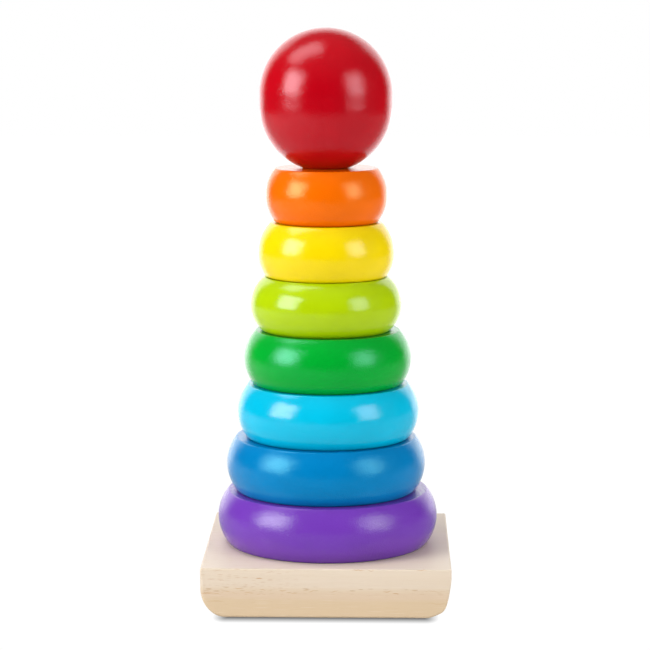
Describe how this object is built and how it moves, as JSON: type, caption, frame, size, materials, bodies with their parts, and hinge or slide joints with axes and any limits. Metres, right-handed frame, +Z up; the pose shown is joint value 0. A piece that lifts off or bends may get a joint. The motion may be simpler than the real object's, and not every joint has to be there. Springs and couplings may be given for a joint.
{
  "type": "ring stacking tower",
  "caption": "Wooden stacking tower: a square board with one upright post that holds a graded stack of loose round-sided rings, capped by a bored ball.",
  "frame": {"origin": "centre of the board's underside", "axes": "+Z up along the post, +X along the board's grain and to the right in the front view, -Y to the front"},
  "size_m": [0.1, 0.1, 0.2322],
  "materials": {
    "natural_wood": "bare sanded pale wood, fine straight grain along X",
    "post_wood": "bare sanded dowel, grain along Z",
    "purple_paint": "wood, glossy purple enamel with a light orange peel",
    "blue_paint": "wood, glossy blue enamel with a light orange peel",
    "sky_blue_paint": "wood, glossy sky blue enamel with a light orange peel",
    "green_paint": "wood, glossy green enamel with a light orange peel",
    "lime_paint": "wood, glossy lime enamel with a light orange peel",
    "yellow_paint": "wood, glossy yellow enamel with a light orange peel",
    "orange_paint": "wood, glossy orange enamel with a light orange peel",
    "red_paint": "wood, glossy deep red enamel with a light orange peel"
  },
  "bodies": {
    "stand": {"base": "natural_wood", "post": "post_wood"},
    "purple_ring": {"purple_ring": "purple_paint"},
    "blue_ring": {"blue_ring": "blue_paint"},
    "sky_blue_ring": {"sky_blue_ring": "sky_blue_paint"},
    "green_ring": {"green_ring": "green_paint"},
    "lime_ring": {"lime_ring": "lime_paint"},
    "yellow_ring": {"yellow_ring": "yellow_paint"},
    "orange_ring": {"orange_ring": "orange_paint"},
    "red_ball": {"red_ball": "red_paint"}
  },
  "joints": [
    {"name": "purple_ring_lift", "type": "slide", "parent": "stand", "child": "purple_ring", "axis": [0, 0, 1], "range_m": [0, 0.178]},
    {"name": "blue_ring_lift", "type": "slide", "parent": "purple_ring", "child": "blue_ring", "axis": [0, 0, 1], "range_m": [0, 0.1558]},
    {"name": "sky_blue_ring_lift", "type": "slide", "parent": "blue_ring", "child": "sky_blue_ring", "axis": [0, 0, 1], "range_m": [0, 0.1336]},
    {"name": "green_ring_lift", "type": "slide", "parent": "sky_blue_ring", "child": "green_ring", "axis": [0, 0, 1], "range_m": [0, 0.1114]},
    {"name": "lime_ring_lift", "type": "slide", "parent": "green_ring", "child": "lime_ring", "axis": [0, 0, 1], "range_m": [0, 0.0892]},
    {"name": "yellow_ring_lift", "type": "slide", "parent": "lime_ring", "child": "yellow_ring", "axis": [0, 0, 1], "range_m": [0, 0.067]},
    {"name": "orange_ring_lift", "type": "slide", "parent": "yellow_ring", "child": "orange_ring", "axis": [0, 0, 1], "range_m": [0, 0.0448]},
    {"name": "red_ball_lift", "type": "slide", "parent": "orange_ring", "child": "red_ball", "axis": [0, 0, 1], "range_m": [0, 0.0226]}
  ]
}
